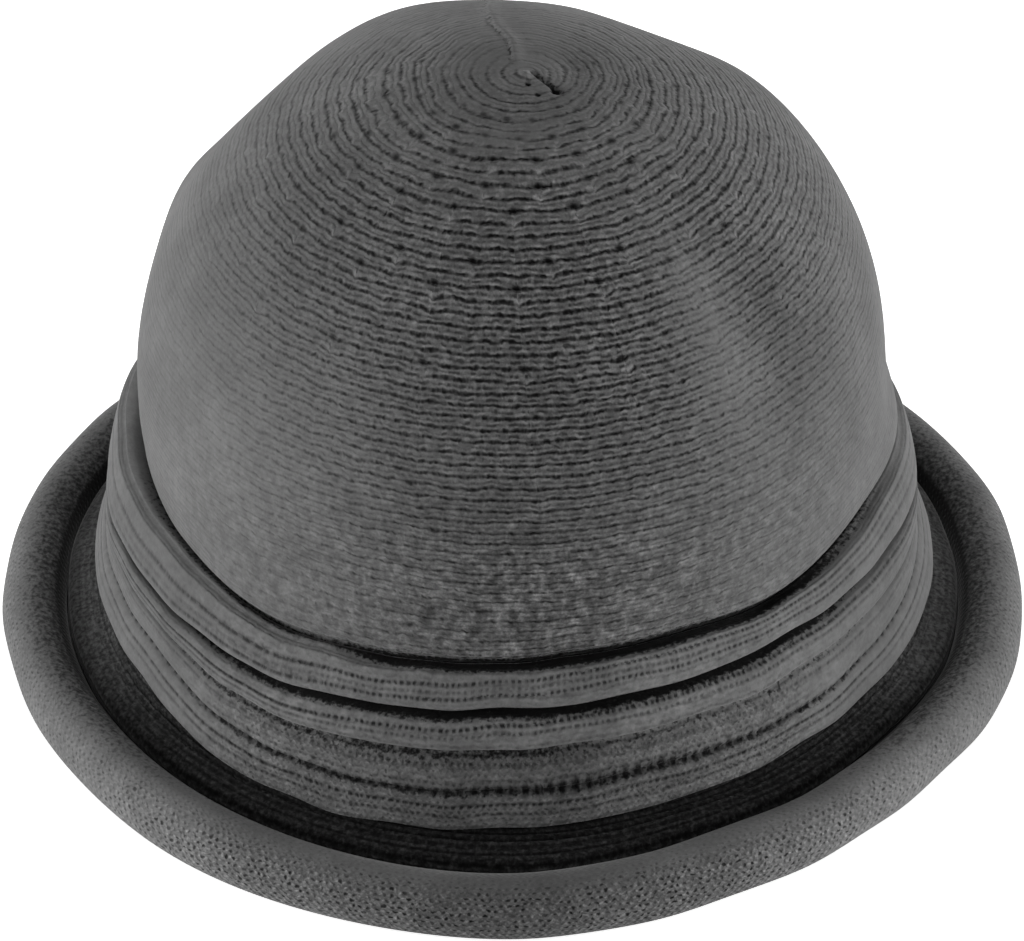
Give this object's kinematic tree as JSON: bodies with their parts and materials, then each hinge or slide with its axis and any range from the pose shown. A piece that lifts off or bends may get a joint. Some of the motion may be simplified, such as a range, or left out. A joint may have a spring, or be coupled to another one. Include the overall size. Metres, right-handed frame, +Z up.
{
  "type": "knit cloche hat",
  "caption": "Knitted cloche hat: a round domed crown, a tucked band round its foot and a short brim whose edge rolls up.",
  "frame": {"origin": "middle of the hat's lowest plane, under the brim", "axes": "+Z up through the tip of the crown, -Y toward the front of the hat, +X toward the wearer's left"},
  "size_m": [0.264, 0.2642, 0.165],
  "materials": {
    "crown_knit": "charcoal wool knit with fine wales round the crown, lightly felted",
    "band_knit": "charcoal wool knit, tucked and stitched along the wales",
    "brim_knit": "charcoal wool knit, felted, its purl side out on the roll"
  },
  "bodies": {
    "root": {"crown": "crown_knit", "tucked_band": "band_knit", "rolled_brim": "brim_knit"}
  },
  "joints": []
}
